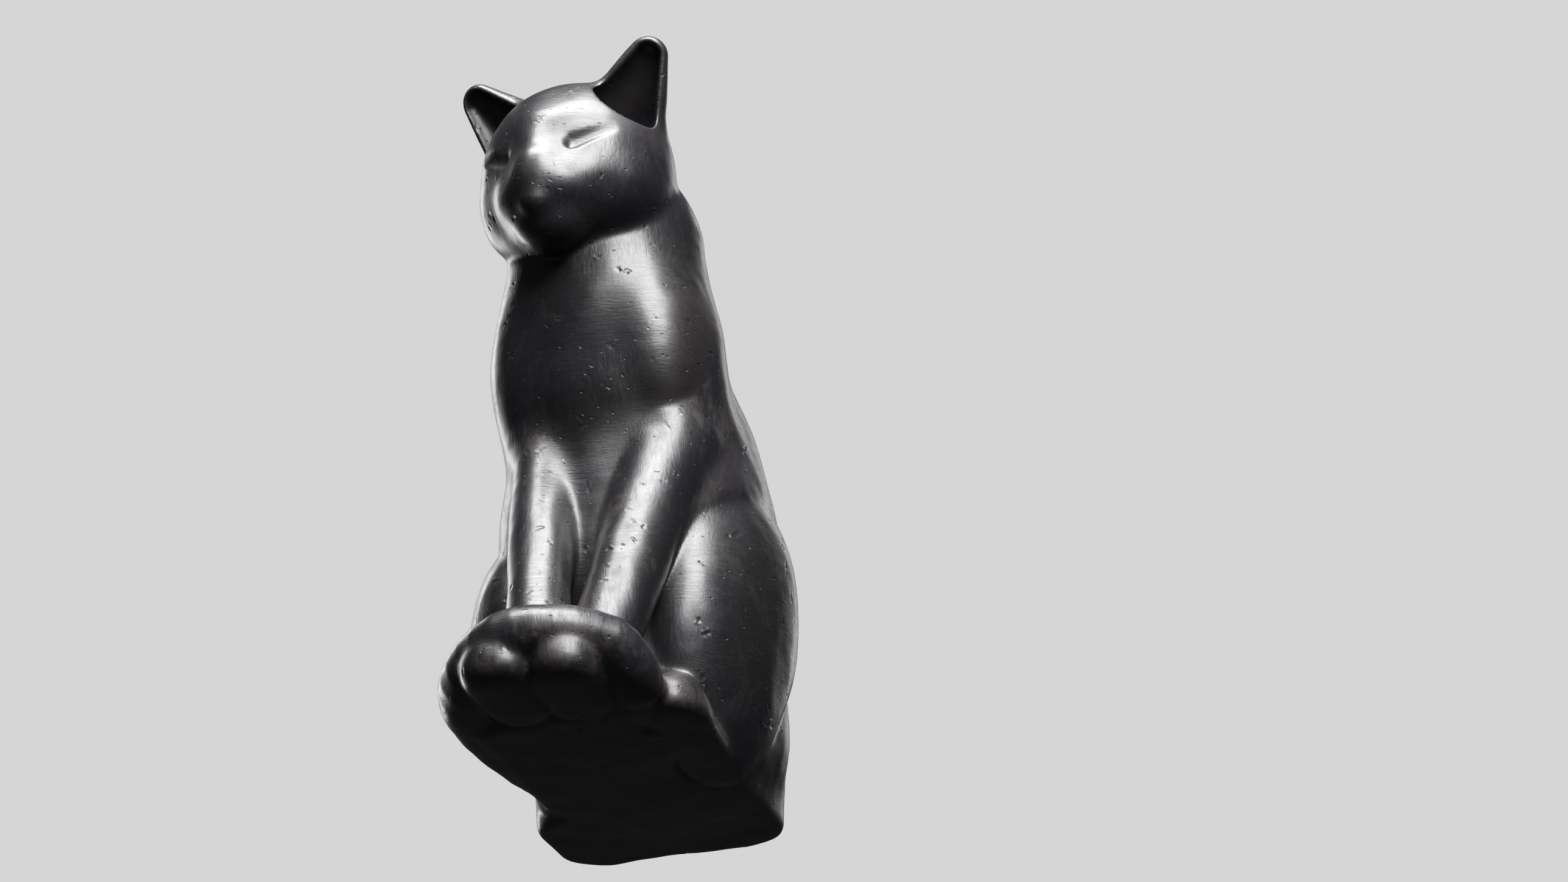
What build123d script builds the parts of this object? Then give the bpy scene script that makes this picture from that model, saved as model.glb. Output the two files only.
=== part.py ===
from build123d import *
from math import cos, copysign, radians, sin
import os

# Seated cat figurine in slip-cast stoneware, millimetres.
# +Z is up, the cat faces -Y, and +X is the cat's own left.
# The origin is on the flat underside, midway between the sides and just behind the forelegs.
# Body and head are cast hollow. Ears, haunches, legs, paws and tail are joined on with slip,
# and a plate closes the underside, so that paws, tail and plate end in one flat face.

os.makedirs("parts", exist_ok=True)

# ---- driving dimensions ----
WALL = 6.0                  # thickness of the cast wall of body and head
BASE_T = 10.0               # thickness of the plate that closes the underside
BASE_EDGE = 2.5             # bevel round the plate's lower edge
POUR_R = 9.0                # opening between the hollow of the neck and that of the head
VENT_R = 1.6                # kiln vent in the back
VENT_Z = 44.0

# Body sections: height, depth of the centre, half width, half depth, squareness (2 is an ellipse)
BODY = [
    (BASE_T, 41, 42, 44, 2.8),
    (40, 41, 46, 50, 2.3),
    (80, 38, 47, 47, 2.1),
    (120, 27, 46, 43, 2),
    (150, 12, 43, 39, 2),
    (180, 0, 39, 35, 2),
    (205, -7, 31, 30, 2),
    (224, -13, 21, 21, 2),
]
RING_POINTS = 16            # points that guide each section's outline

# Foreleg sections: height, sideways place, depth, half width, half depth
FORELEG = [
    (10, 14, -38, 11, 12),
    (40, 17, -30, 11, 12),
    (80, 22, -14, 13, 15),
    (115, 27, 1, 15, 17),
    (150, 25, 5, 14, 15),
]
FOREPAW = (14, 20, 12)      # half width, half length, half height
PAW_X = 14.5
PAW_Z = 10.0
LEFT_PAW_Y = -50.0
RIGHT_PAW_Y = -56.0         # the right foot stands a little further forward

HAUNCH = (20, 39, 61)       # half thickness, half length, half height
HAUNCH_AT = (35, 30, 45)
HAUNCH_TURN = (-12, 0, -5)

# The left hind foot shows beside the tail's tip. The right one is covered by the tail.
HIND_PAW_R = 10.0
HIND_PAW_AT = (38, -4, 9)
HIND_PAW_LENGTH = 46.0
HIND_PAW_SPLAY = 5.0

HEAD_AT = (-1, -20, 222)
HEAD_PITCH = 11.0           # the head is bowed
HEAD_YAW = -4.0             # and turned a little to the cat's right
SKULL = (36.5, 37, 38)
CHEEKS, CHEEKS_AT = (34, 30, 25), (0, -8, -12)
MUZZLE, MUZZLE_AT = (17, 16, 14), (0, -29, -16)
CHIN, CHIN_AT = (15, 15, 12), (0, -20, -25)
BRIDGE, BRIDGE_AT = (8, 14, 22), (0, -27, -5)      # of the nose

EAR_AT = (21, 2, 22)
EAR_LEAN = (3, 22)          # turn of the ear about the head's X, then Y
# Ear sections: distance from the root, half width, half depth
EAR = [(0, 17, 11), (16, 14.5, 8.5), (29, 9, 5.5), (37, 3.5, 2.5)]
EAR_CUP = (11.5, 7, 19)     # half lengths of the hollow in front of the ear
EAR_CUP_AT = (0, -7, 13)

# Tail: centre line from the rump's right corner, along the right side and in front of the legs
TAIL_R = 11.0
TAIL_TOP = 2 * TAIL_R       # where it lies on the ground; the right haunch ends on it
TAIL_PATH = [
    (-38, 74, TAIL_R),
    (-40, 42, TAIL_R),
    (-31, 12, TAIL_R),
    (-29, -20, TAIL_R),
    (-27, -60, 17),
    (4, -69, 21),
    (28, -50, 17),
    (31, -30, 13),
]
TAIL_BENDS = [30, 60, 80, 24, 26, 20]

# Front part of the closing plate, below the legs; the back part follows the body
PLATE_FRONT = [(-18, -44), (20, -40), (33, -14), (38, 40), (-30, 40), (-23, 0)]
PLATE_CORNERS = 8.0


# ---- forms that more than one piece needs ----
def section_outline(half_width, half_depth, squareness):
    """Closed smooth outline between an ellipse and a rectangle, centred on the sketch's origin."""
    points = []
    for step in range(RING_POINTS):
        angle = radians(360 * (step + 0.5) / RING_POINTS)
        across = copysign(abs(cos(angle)) ** (2 / squareness), cos(angle))
        along = copysign(abs(sin(angle)) ** (2 / squareness), sin(angle))
        points.append((half_width * across, half_depth * along))
    return Spline(*points, periodic=True)


def body_form(shrink):
    """The body's outer form, or its hollow when shrink is the wall's thickness."""
    with BuildPart() as form:
        for height, depth, half_width, half_depth, squareness in BODY:
            lowered = shrink if height == BODY[-1][0] else 0
            with BuildSketch(Plane((0, depth, height - lowered))):
                with BuildLine():
                    section_outline(half_width - shrink, half_depth - shrink, squareness)
                make_face()
        loft()
    return form.part


def rounded(half_lengths):
    """A ball stretched to three half lengths."""
    with BuildPart() as form:
        Sphere(1)
        scale(by=half_lengths)
    return form.part


def above_ground():
    split(bisect_by=Plane.XY, keep=Keep.TOP)


def subtract_all(neighbours):
    for neighbour in neighbours:
        add(neighbour, mode=Mode.SUBTRACT)


head_frame = Location(HEAD_AT, (0, 0, HEAD_YAW)) * Location((0, 0, 0), (HEAD_PITCH, 0, 0))
body_outside = body_form(0)
body_hollow = body_form(WALL)

# ---- plate that closes the underside ----
with BuildPart() as plate_block:
    with BuildSketch(Plane((0, BODY[0][1], 0))):
        with BuildLine():
            section_outline(BODY[0][2], BODY[0][3], BODY[0][4])
        make_face()
    extrude(amount=BASE_T)
    with BuildSketch():
        with BuildLine():
            Polyline(*PLATE_FRONT, close=True)
        make_face()
        fillet(vertices(), radius=PLATE_CORNERS)
    extrude(amount=BASE_T)

with BuildPart() as base_plate:
    add(plate_block.part)
    chamfer(faces().sort_by(Axis.Z)[0].edges(), length=BASE_EDGE)

# ---- body: back, chest and neck, hollow, open below until the plate closes it ----
with BuildPart() as body:
    add(body_outside)
    add(body_hollow, mode=Mode.SUBTRACT)
    with Locations((0, BODY[-1][1], BODY[-1][0])):
        Cylinder(POUR_R, 4 * WALL, mode=Mode.SUBTRACT)
    with BuildSketch(Plane.XZ):
        with Locations((0, VENT_Z)):
            Circle(VENT_R)
    extrude(amount=-120, mode=Mode.SUBTRACT)

# ---- head ----
head_forms = [
    (SKULL, (0, 0, 0)),
    (CHEEKS, CHEEKS_AT),
    (MUZZLE, MUZZLE_AT),
    (CHIN, CHIN_AT),
    (BRIDGE, BRIDGE_AT),
]
with BuildPart() as head_outside:
    for half_lengths, place in head_forms:
        form = rounded(half_lengths)
        with Locations(head_frame * Location(place)):
            add(form)

skull_hollow = rounded(tuple(length - WALL for length in SKULL))
with BuildPart() as head:
    add(head_outside.part)
    with Locations(head_frame):
        add(skull_hollow, mode=Mode.SUBTRACT)
    add(body_outside, mode=Mode.SUBTRACT)

# ---- ears ----
ear_cup = rounded(EAR_CUP)
ears = []
for side in (1, -1):
    root = head_frame * Location((side * EAR_AT[0], EAR_AT[1], EAR_AT[2]))
    root = root * Location((0, 0, 0), (EAR_LEAN[0], side * EAR_LEAN[1], 0))
    with BuildPart() as ear:
        for distance, half_width, half_depth in EAR:
            with BuildSketch(Plane(root).offset(distance)):
                Ellipse(half_width, half_depth)
        loft()
        fillet(faces().sort_by(Axis.Z)[-1].edges(), radius=1.5)
        with Locations(root * Location(EAR_CUP_AT)):
            add(ear_cup, mode=Mode.SUBTRACT)
        subtract_all([head_outside.part])
    ears.append(ear.part)

# ---- forelegs ----
forelegs = []
for side in (1, -1):
    with BuildPart() as foreleg:
        for height, across, depth, half_width, half_depth in FORELEG:
            with BuildSketch(Plane.XY.offset(height)):
                with Locations((side * across, depth)):
                    Ellipse(half_width, half_depth)
        loft()
        subtract_all([body_outside])
    forelegs.append(foreleg.part)

# ---- forepaws ----
forepaw_form = rounded(FOREPAW)
forepaws = []
for side, depth in ((1, LEFT_PAW_Y), (-1, RIGHT_PAW_Y)):
    with BuildPart() as forepaw:
        with Locations((side * PAW_X, depth, PAW_Z)):
            add(forepaw_form)
        above_ground()
        subtract_all([plate_block.part, *forelegs])
    forepaws.append(forepaw.part)

# ---- tail ----
with BuildPart() as tail:
    with BuildLine() as tail_line:
        FilletPolyline(*TAIL_PATH, radius=TAIL_BENDS)
    with BuildSketch(Plane(origin=tail_line.line @ 0, z_dir=tail_line.line % 0)):
        Circle(TAIL_R)
    sweep()
    for end in (TAIL_PATH[0], TAIL_PATH[-1]):
        with Locations(end):
            Sphere(TAIL_R)
    above_ground()
    subtract_all([body_outside, plate_block.part, *forelegs, *forepaws])

# ---- haunches ----
haunch_form = rounded(HAUNCH)
haunches = []
for side, ground in ((1, 0), (-1, TAIL_TOP)):
    turn = (HAUNCH_TURN[0], HAUNCH_TURN[1], side * HAUNCH_TURN[2])
    with BuildPart() as haunch:
        with Locations(Location((side * HAUNCH_AT[0], HAUNCH_AT[1], HAUNCH_AT[2]), turn)):
            add(haunch_form)
        split(bisect_by=Plane.XY.offset(ground), keep=Keep.TOP)
        subtract_all([body_outside, plate_block.part, *forelegs])
    haunches.append(haunch.part)

# ---- left hind paw ----
with BuildPart() as left_hind_paw:
    with Locations(Location(HIND_PAW_AT, (90, 0, HIND_PAW_SPLAY))):
        Cylinder(HIND_PAW_R, HIND_PAW_LENGTH)
    fillet(edges().filter_by(GeomType.CIRCLE), radius=HIND_PAW_R - 0.5)
    above_ground()
    subtract_all([body_outside, plate_block.part, *haunches, *forelegs, *forepaws, tail.part])

# ---- one file for each piece ----
pieces = {
    "base_plate": base_plate.part,
    "body": body.part,
    "head": head.part,
    "left_ear": ears[0],
    "right_ear": ears[1],
    "left_foreleg": forelegs[0],
    "right_foreleg": forelegs[1],
    "left_forepaw": forepaws[0],
    "right_forepaw": forepaws[1],
    "left_haunch": haunches[0],
    "right_haunch": haunches[1],
    "left_hind_paw": left_hind_paw.part,
    "tail": tail.part,
}
for name, piece in pieces.items():
    piece.label = name
    export_step(piece, f"parts/{name}.step")
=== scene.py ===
import math
from types import SimpleNamespace

import bpy
import numpy as np
from bpy.props import FloatProperty, FloatVectorProperty, IntProperty, PointerProperty
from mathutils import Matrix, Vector
from mathutils.kdtree import KDTree


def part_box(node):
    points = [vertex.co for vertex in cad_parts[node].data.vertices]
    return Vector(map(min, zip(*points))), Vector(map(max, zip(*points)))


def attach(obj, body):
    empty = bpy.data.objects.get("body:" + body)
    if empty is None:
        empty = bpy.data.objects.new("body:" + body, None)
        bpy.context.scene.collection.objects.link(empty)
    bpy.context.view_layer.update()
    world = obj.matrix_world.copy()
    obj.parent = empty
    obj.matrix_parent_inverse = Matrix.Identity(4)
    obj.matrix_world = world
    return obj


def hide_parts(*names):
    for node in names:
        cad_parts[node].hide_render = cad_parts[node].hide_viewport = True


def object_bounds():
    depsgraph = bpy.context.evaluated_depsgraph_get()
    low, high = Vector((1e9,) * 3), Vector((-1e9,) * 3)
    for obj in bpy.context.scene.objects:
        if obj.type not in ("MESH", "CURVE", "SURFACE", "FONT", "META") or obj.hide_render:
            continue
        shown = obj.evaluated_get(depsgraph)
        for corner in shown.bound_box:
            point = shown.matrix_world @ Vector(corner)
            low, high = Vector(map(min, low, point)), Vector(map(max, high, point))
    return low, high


bl_info = {
    "name": "Seated Cat Figurine",
    "version": (1, 0, 0),
    "blender": (4, 5, 0),
    "location": "View3D > Sidebar > Figurine",
    "description": "Sculpts and glazes a seated ceramic cat on its packed frame",
    "category": "Add Mesh",
}

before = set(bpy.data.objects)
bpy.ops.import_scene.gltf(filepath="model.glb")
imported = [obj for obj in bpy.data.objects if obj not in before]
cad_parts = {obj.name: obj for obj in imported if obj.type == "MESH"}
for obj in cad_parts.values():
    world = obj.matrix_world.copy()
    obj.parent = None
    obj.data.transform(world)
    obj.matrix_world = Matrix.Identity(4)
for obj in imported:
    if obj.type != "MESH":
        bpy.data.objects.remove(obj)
CAD_BOX = [list(corner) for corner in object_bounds()]
MM = 0.001


# ---- forms: each takes points as three rows, in millimetres, and gives distances, negative inside ----


def turned(yaw=0.0, pitch=0.0, roll=0.0):
    """Turns about Z, X and Y in degrees: the columns are the turned form's own directions."""
    z, x, y = (math.radians(angle) for angle in (yaw, pitch, roll))
    about_z = np.array([[math.cos(z), -math.sin(z), 0], [math.sin(z), math.cos(z), 0], [0, 0, 1]])
    about_x = np.array([[1, 0, 0], [0, math.cos(x), -math.sin(x)], [0, math.sin(x), math.cos(x)]])
    about_y = np.array([[math.cos(y), 0, math.sin(y)], [0, 1, 0], [-math.sin(y), 0, math.cos(y)]])
    return about_z @ about_x @ about_y


def offsets(p, centre, turn=None):
    x, y, z = (p[i] - np.float32(centre[i]) for i in range(3))
    if turn is None:
        return x, y, z
    t = turn.astype(np.float32)
    return tuple(x * t[0, i] + y * t[1, i] + z * t[2, i] for i in range(3))


def length_of(x, y, z):
    return np.sqrt(x * x + y * y + z * z)


def ball(p, centre, radii, turn=None):
    """A stretched ball."""
    a, b, c = (np.float32(r) for r in radii)
    x, y, z = offsets(p, centre, turn)
    x, y, z = x / a, y / b, z / c
    near = length_of(x, y, z)
    return near * (near - 1) / np.maximum(length_of(x / a, y / b, z / c), np.float32(1e-6))


def limb(p, start, end, start_radius, end_radius):
    """A round cone between two balls."""
    axis = np.asarray(end, float) - np.asarray(start, float)
    tall = float(np.linalg.norm(axis))
    ax, ay, az = (np.float32(v / tall) for v in axis)
    x, y, z = offsets(p, start)
    along = x * ax + y * ay + z * az
    out = np.sqrt(np.maximum(x * x + y * y + z * z - along * along, 0))
    lean = (start_radius - end_radius) / tall
    rise = math.sqrt(max(1 - lean * lean, 0.01))
    # where on the axis the cone's skin is nearest
    t = np.clip(along - out * np.float32(lean / rise), 0, np.float32(tall))
    return np.sqrt(out * out + (along - t) ** 2) - (start_radius - t * np.float32(lean))


def rounded_path(knots, steps=3):
    """Catmull-Rom points through the knots."""
    k = np.asarray(knots, float)
    k = np.vstack([2 * k[0] - k[1], k, 2 * k[-1] - k[-2]])
    line = []
    for i in range(1, len(k) - 2):
        for t in np.arange(steps) / steps:
            line.append(0.5 * (2 * k[i] + (k[i + 1] - k[i - 1]) * t
                               + (2 * k[i - 1] - 5 * k[i] + 4 * k[i + 1] - k[i + 2]) * t * t
                               + (3 * k[i] - k[i - 1] - 3 * k[i + 1] + k[i + 2]) * t ** 3))
    return np.array(line + [k[-2]])


def rope(p, knots):
    """A tube through (x, y, z, radius) knots."""
    line = rounded_path(knots)
    best = np.full(p.shape[1], 1e6, np.float32)
    for a, b in zip(line[:-1], line[1:]):
        best = np.minimum(best, limb(p, a[:3], b[:3], a[3], b[3]))
    return best


def block(p, centre, half, edge):
    """A block with rounded edges."""
    x, y, z = (np.abs(v) - np.float32(h - edge) for v, h in zip(offsets(p, centre), half))
    outside = length_of(np.maximum(x, 0), np.maximum(y, 0), np.maximum(z, 0))
    return outside + np.minimum(np.maximum(np.maximum(x, y), z), 0) - edge


def rounded_corner(x, y):
    """The distance to a square corner from outside it, and from inside it to the nearer side."""
    return np.sqrt(np.maximum(x, 0) ** 2 + np.maximum(y, 0) ** 2) + np.minimum(np.maximum(x, y), 0)


def slab(p, centre, half, corner, edge):
    """A flat block, its outline's corners and its edges rounded by their own amounts."""
    x, y, z = (np.abs(v) - np.float32(h) for v, h in zip(offsets(p, centre), half))
    x, y = x + corner, y + corner
    plan = rounded_corner(x, y) - corner + edge
    z = z + edge
    return rounded_corner(plan, z) - edge


def join(a, b, blend):
    """Both forms as one, the corner between them filled over about the blend."""
    h = np.maximum(blend - np.abs(a - b), 0) / blend
    return np.minimum(a, b) - h * h * h * (blend / 6)


def carve(a, b, blend):
    """Takes b out of a."""
    return -join(-a, b, blend)


def meet(a, b, blend):
    """Only what lies in both."""
    return -join(-a, -b, blend)


def mirrored(p):
    """Points with the cat's left and right swapped."""
    return np.stack([-p[0], p[1], p[2]])


# ---- places from the frame, in millimetres ----


def node_box(node):
    low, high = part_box(node)
    return np.array(low) / MM, np.array(high) / MM


def centre_of(node):
    low, high = node_box(node)
    return (low + high) / 2


def foot_of(node):
    """The middle of the node's box, on the ground."""
    return centre_of(node) * np.array([1, 1, 0])


BODY = foot_of("body")
HEAD = centre_of("head") + (0, 2.2, 1.2)
LEFT_PAW = foot_of("left_forepaw")
RIGHT_PAW = foot_of("right_forepaw")
LEFT_TOE = foot_of("left_hind_paw")
LEFT_THIGH = centre_of("left_haunch")
RIGHT_THIGH = foot_of("right_haunch") + LEFT_THIGH * np.array([0, 0, 1])
TAIL_LOW, TAIL_HIGH = node_box("tail")
SEAM = node_box("base_plate")[1][2]
PIECES = ("base_plate", "body", "head", "left_ear", "right_ear", "left_foreleg", "right_foreleg",
          "left_forepaw", "right_forepaw", "left_haunch", "right_haunch", "left_hind_paw", "tail")


# ---- the sculpture's pieces ----


def torso(p, cat):
    """Rump, back, shoulders, neck, chest and belly, and the block that carries them on the ground."""
    w = cat.back_width / 2
    rump = block(p, BODY + (1.5, 15.5, 65), (w - 1.5, 55, 72), 36)
    back = ball(p, BODY + (3, 9, 104), (w, 51, 84))
    d = join(rump, back, 16)
    shoulders = ball(p, BODY + (0.5, -19.5, 157), (cat.shoulder_width / 2, 36, 52))
    d = join(d, shoulders, 14)
    neck_radius = cat.neck_width / 2
    neck = limb(p, BODY + (1.5, -21.5, 176), BODY + (2, -26, 206), neck_radius + 1, neck_radius)
    d = join(d, neck, 16)
    d = join(d, ball(p, BODY + (22, -35, 163), (18, 18, 38), turned(roll=-8)), 8)
    d = join(d, ball(p, BODY + (-19, -33, 162), (17, 17, 34), turned(roll=8)), 8)
    belly = ball(p, BODY + (1, -15.5, 84), (20, 28, 76))
    d = join(d, belly, 12)
    rear = slab(p, BODY + (-4.5, 42, 9), (42, 26, 17), 18, 9)
    d = join(d, rear, 10)
    left_side = slab(p, BODY + (15, 12, 8), (22.5, 55.5, 16), 10, 8)
    d = join(d, left_side, 8)
    front = slab(p, BODY + (-6, -24, 7), (28, 40, 11), 8, 7)
    d = join(d, front, 8)
    beside_paw = ball(p, LEFT_PAW + (9, 23, 8), (10, 15, 10))
    return join(d, beside_paw, 6)


def skull(q, cat):
    """In the head's own directions: x to the cat's left, -y out of the face."""
    w = cat.head_width / 2
    d = ball(q, (0, 2, 5), (w, 36, 37))
    return join(d, ball(q, (0, -5, -9), (w - 3, 30, 23)), 14)


def face(q, cat):
    """The muzzle, chin, nose and lids, left and right alike."""
    d = skull(q, cat)
    m = np.stack([np.abs(q[0]), q[1], q[2]])
    d = join(d, ball(q, (0, -29, -14), (17, 15, 13.5)), 14)
    d = join(d, ball(q, (0, -27, -26), (11.5, 12, 8.5)), 9)
    d = join(d, limb(q, (0, -24.5, 12), (0, -37, -8), 8.5, 6.5), 12)
    d = join(d, limb(q, (0, -38, -5), (0, -40, -20), 5.5, 5.2), 6)
    d = carve(d, limb(m, (15, -34.2, 4), (27, -25, 10.5), 3.2, 1.3), 3.5)
    return carve(d, limb(m, (13.5, -34, 2), (27, -24.4, 9), 1.8, 1.0), 2.2)


def ear(q, cat):
    """The shell of the left ear, and the cup to take out of it."""
    e = offsets(q, (20, 1, 24), turned(yaw=10, pitch=22, roll=31))
    shell = np.stack([e[0], e[1] * 1.5, e[2]])
    cup = np.stack([e[0], (e[1] + 9) * 1.05, e[2]])
    top = cat.ear_height - 30
    return (limb(shell, (0, 0, 0), (0.5, 0, top), 16.5, 7.5) / 1.2,
            limb(cup, (0, 0, 3), (0.5, 6, top), 13, 5))


def head_space(p, cat):
    """Points in the head's own directions, from its centre."""
    return np.stack(offsets(p, HEAD, turned(yaw=-cat.head_turn, pitch=cat.head_bow)))


def haunch(p, centre, half_height, cat):
    """The left thigh, about its centre."""
    return ball(p, centre, (cat.haunch_width / 2 + 3.5, 40, half_height), turned(yaw=-8, pitch=-12, roll=4))


def left_foreleg(p):
    """Shoulder, elbow and shin."""
    d = limb(p, BODY + (25, -25.5, 160), BODY + (27, -19, 120), 16, 15)
    d = join(d, limb(p, BODY + (29, -17, 142), BODY + (37, 1, 116), 13, 9.5), 14)
    return join(d, limb(p, BODY + (26, -26, 118), BODY + (14, -64, 20), 15, 11.5), 14)


def right_foreleg(p):
    """As the left one, but steeper and closer in."""
    q = mirrored(p)
    d = limb(q, BODY + (22, -26, 158), BODY + (22, -23.5, 120), 17, 12)
    d = join(d, limb(q, BODY + (25, -19, 136), BODY + (31, -6, 116), 12, 9), 12)
    return join(d, limb(q, BODY + (19, -31.5, 122), BODY + (7, -68, 20), 12, 10.5), 14)


def forepaw(p, heel):
    """A paw from its heel forwards."""
    return limb(p, heel + (0, -18, 2), heel, 12.5, 12)


def left_hind_paw(p):
    """The toes, and the long foot behind them."""
    d = ball(p, LEFT_TOE + (-4, -9, 5), (10, 14.5, 12.5), turned(yaw=-8))
    return join(d, limb(p, LEFT_TOE + (-4, -6, 4), LEFT_TOE + (-7, 40, 3), 9.5, 9), 5)


def tail_knots(cat):
    """From the rump's right rear corner, forward along the right side and across the forepaws."""
    r = cat.tail_width / 2
    back, left, front = TAIL_HIGH[1], TAIL_LOW[0], TAIL_LOW[1]
    beside_rump = [(22, -8, 9, r), (18.5, -24, 10, r - 0.5), (19, -40, 10.5, r - 1.5), (23, -54, 11, r - 1),
                   (20.5, -72, 11, r)]
    round_paws = [(19, 60, 11.5, r + 1), (21, 40, 12, r + 1), (29, 24, 13.5, r), (43, 14, 17, r - 1),
                  (58, 16, 18.5, r - 1.5), (72, 27, 17, r - 1), (77, 35, 11, r - 1.5), (78, 41, 7, r - 2)]
    return ([(left + x, back + y, z, radius) for x, y, z, radius in beside_rump]
            + [(left + x, front + y, z, radius) for x, y, z, radius in round_paws])


def pieces_of(p, cat):
    """The distance to every piece, and to the whole figurine with its joints softened."""
    z = p[2]
    body = torso(p, cat)
    left_thigh = haunch(p, LEFT_THIGH + (-4.5, -1, 9), 60, cat)
    right_thigh = haunch(mirrored(p), RIGHT_THIGH * (-1, 1, 1) + (-4.5, -1, 7), 47, cat)
    legs = left_foreleg(p), right_foreleg(p)
    paws = forepaw(p, LEFT_PAW + (-5, 13, 6)), forepaw(p, RIGHT_PAW + (3.5, 13, 6))
    toe = left_hind_paw(p)
    tail = z - 30
    low = z < 60
    if low.any():
        tail[low] = rope(p[:, low], tail_knots(cat))
    head = np.maximum(175 - z, 20)
    left_ear, right_ear, cups = head + 20, head + 20, head + 20
    high = z > 165
    if high.any():
        q = head_space(p[:, high], cat)
        head[high] = face(q, cat)
        left_ear[high], left_cup = ear(q, cat)
        right_ear[high], right_cup = ear(mirrored(q), cat)
        cups[high] = np.minimum(left_cup, right_cup)

    whole = join(carve(body, legs[0], 5), legs[0], 7)
    whole = join(whole, legs[1], 9)
    for thigh in (left_thigh, right_thigh):
        whole = join(carve(whole, thigh + 1, 4), thigh, 3)
    whole = join(whole, paws[0], 3)
    whole = join(whole, paws[1], 3)
    whole = join(whole, toe, 4)
    whole = join(whole, tail, 3)
    crown = join(head, left_ear, 7)
    crown = join(crown, right_ear, 7)
    crown = carve(crown, cups, 3)
    whole = join(whole, crown, 3.5)
    whole = meet(whole, -z, 7)
    fields = {
        "base_plate": np.maximum(body, z - SEAM), "body": np.maximum(body, SEAM - z), "head": head,
        "left_ear": left_ear, "right_ear": right_ear, "left_foreleg": legs[0], "right_foreleg": legs[1],
        "left_forepaw": paws[0], "right_forepaw": paws[1], "left_haunch": left_thigh,
        "right_haunch": right_thigh, "left_hind_paw": toe, "tail": tail,
    }
    return fields, whole


# ---- from distances to closed meshes ----


def measure(places, cat, labels=False):
    """The whole figurine's distance at an (n, 3) array of places, and if asked the nearest piece's number
    and how much further the next piece is."""
    whole = np.empty(len(places), np.float32)
    nearest, margin = np.empty(len(places), np.int8), np.empty(len(places), np.float32)
    for first in range(0, len(places), 24000):
        part = slice(first, first + 24000)
        fields, whole[part] = pieces_of(np.ascontiguousarray(places[part].T, np.float32), cat)
        if labels:
            best = next_best = np.float32(1e6)
            number = 0
            for i, name in enumerate(PIECES, 1):
                d = fields[name]
                closer = d < best
                next_best = np.where(closer, best, np.minimum(next_best, d))
                number = np.where(closer, i, number)
                best = np.where(closer, d, best)
            nearest[part], margin[part] = number, next_best - best
    return (whole, nearest, margin) if labels else whole


def near_points(blocks, side):
    """The grid indices inside each coarse block."""
    inside = np.stack(np.meshgrid(*[np.arange(side)] * 3, indexing="ij"), -1).reshape(-1, 3)
    return (blocks[:, None, :] * side + inside[None]).reshape(-1, 3)


def sample(cat):
    """Labels (0 outside, then one number a piece) and distances on a grid, exact only near a boundary."""
    step, side = cat.step, 4
    low = np.floor(np.array(CAD_BOX[0]) / MM - 14)
    high = np.ceil(np.array(CAD_BOX[1]) / MM + 14)
    blocks_each_way = np.ceil((high - low) / (step * side)).astype(int) + 1
    blocks = np.argwhere(np.ones(blocks_each_way, bool))
    whole, nearest, margin = measure(low + (blocks * side + (side - 1) / 2) * step, cat, labels=True)
    reach = step * side
    close = (np.abs(whole) < reach * 1.5) | ((whole < reach) & (margin < reach * 1.8))
    label = np.where(whole < 0, nearest, 0).astype(np.int8)
    labels, distance = (part.reshape(blocks_each_way).repeat(side, 0).repeat(side, 1).repeat(side, 2)
                        for part in (label, whole))
    cells = near_points(blocks[close], side)
    whole, nearest, _ = measure(low + cells * step, cat, labels=True)
    where = tuple(cells.T)
    labels[where] = np.where(whole < 0, nearest, 0)
    distance[where] = whole
    return labels, distance, low


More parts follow.
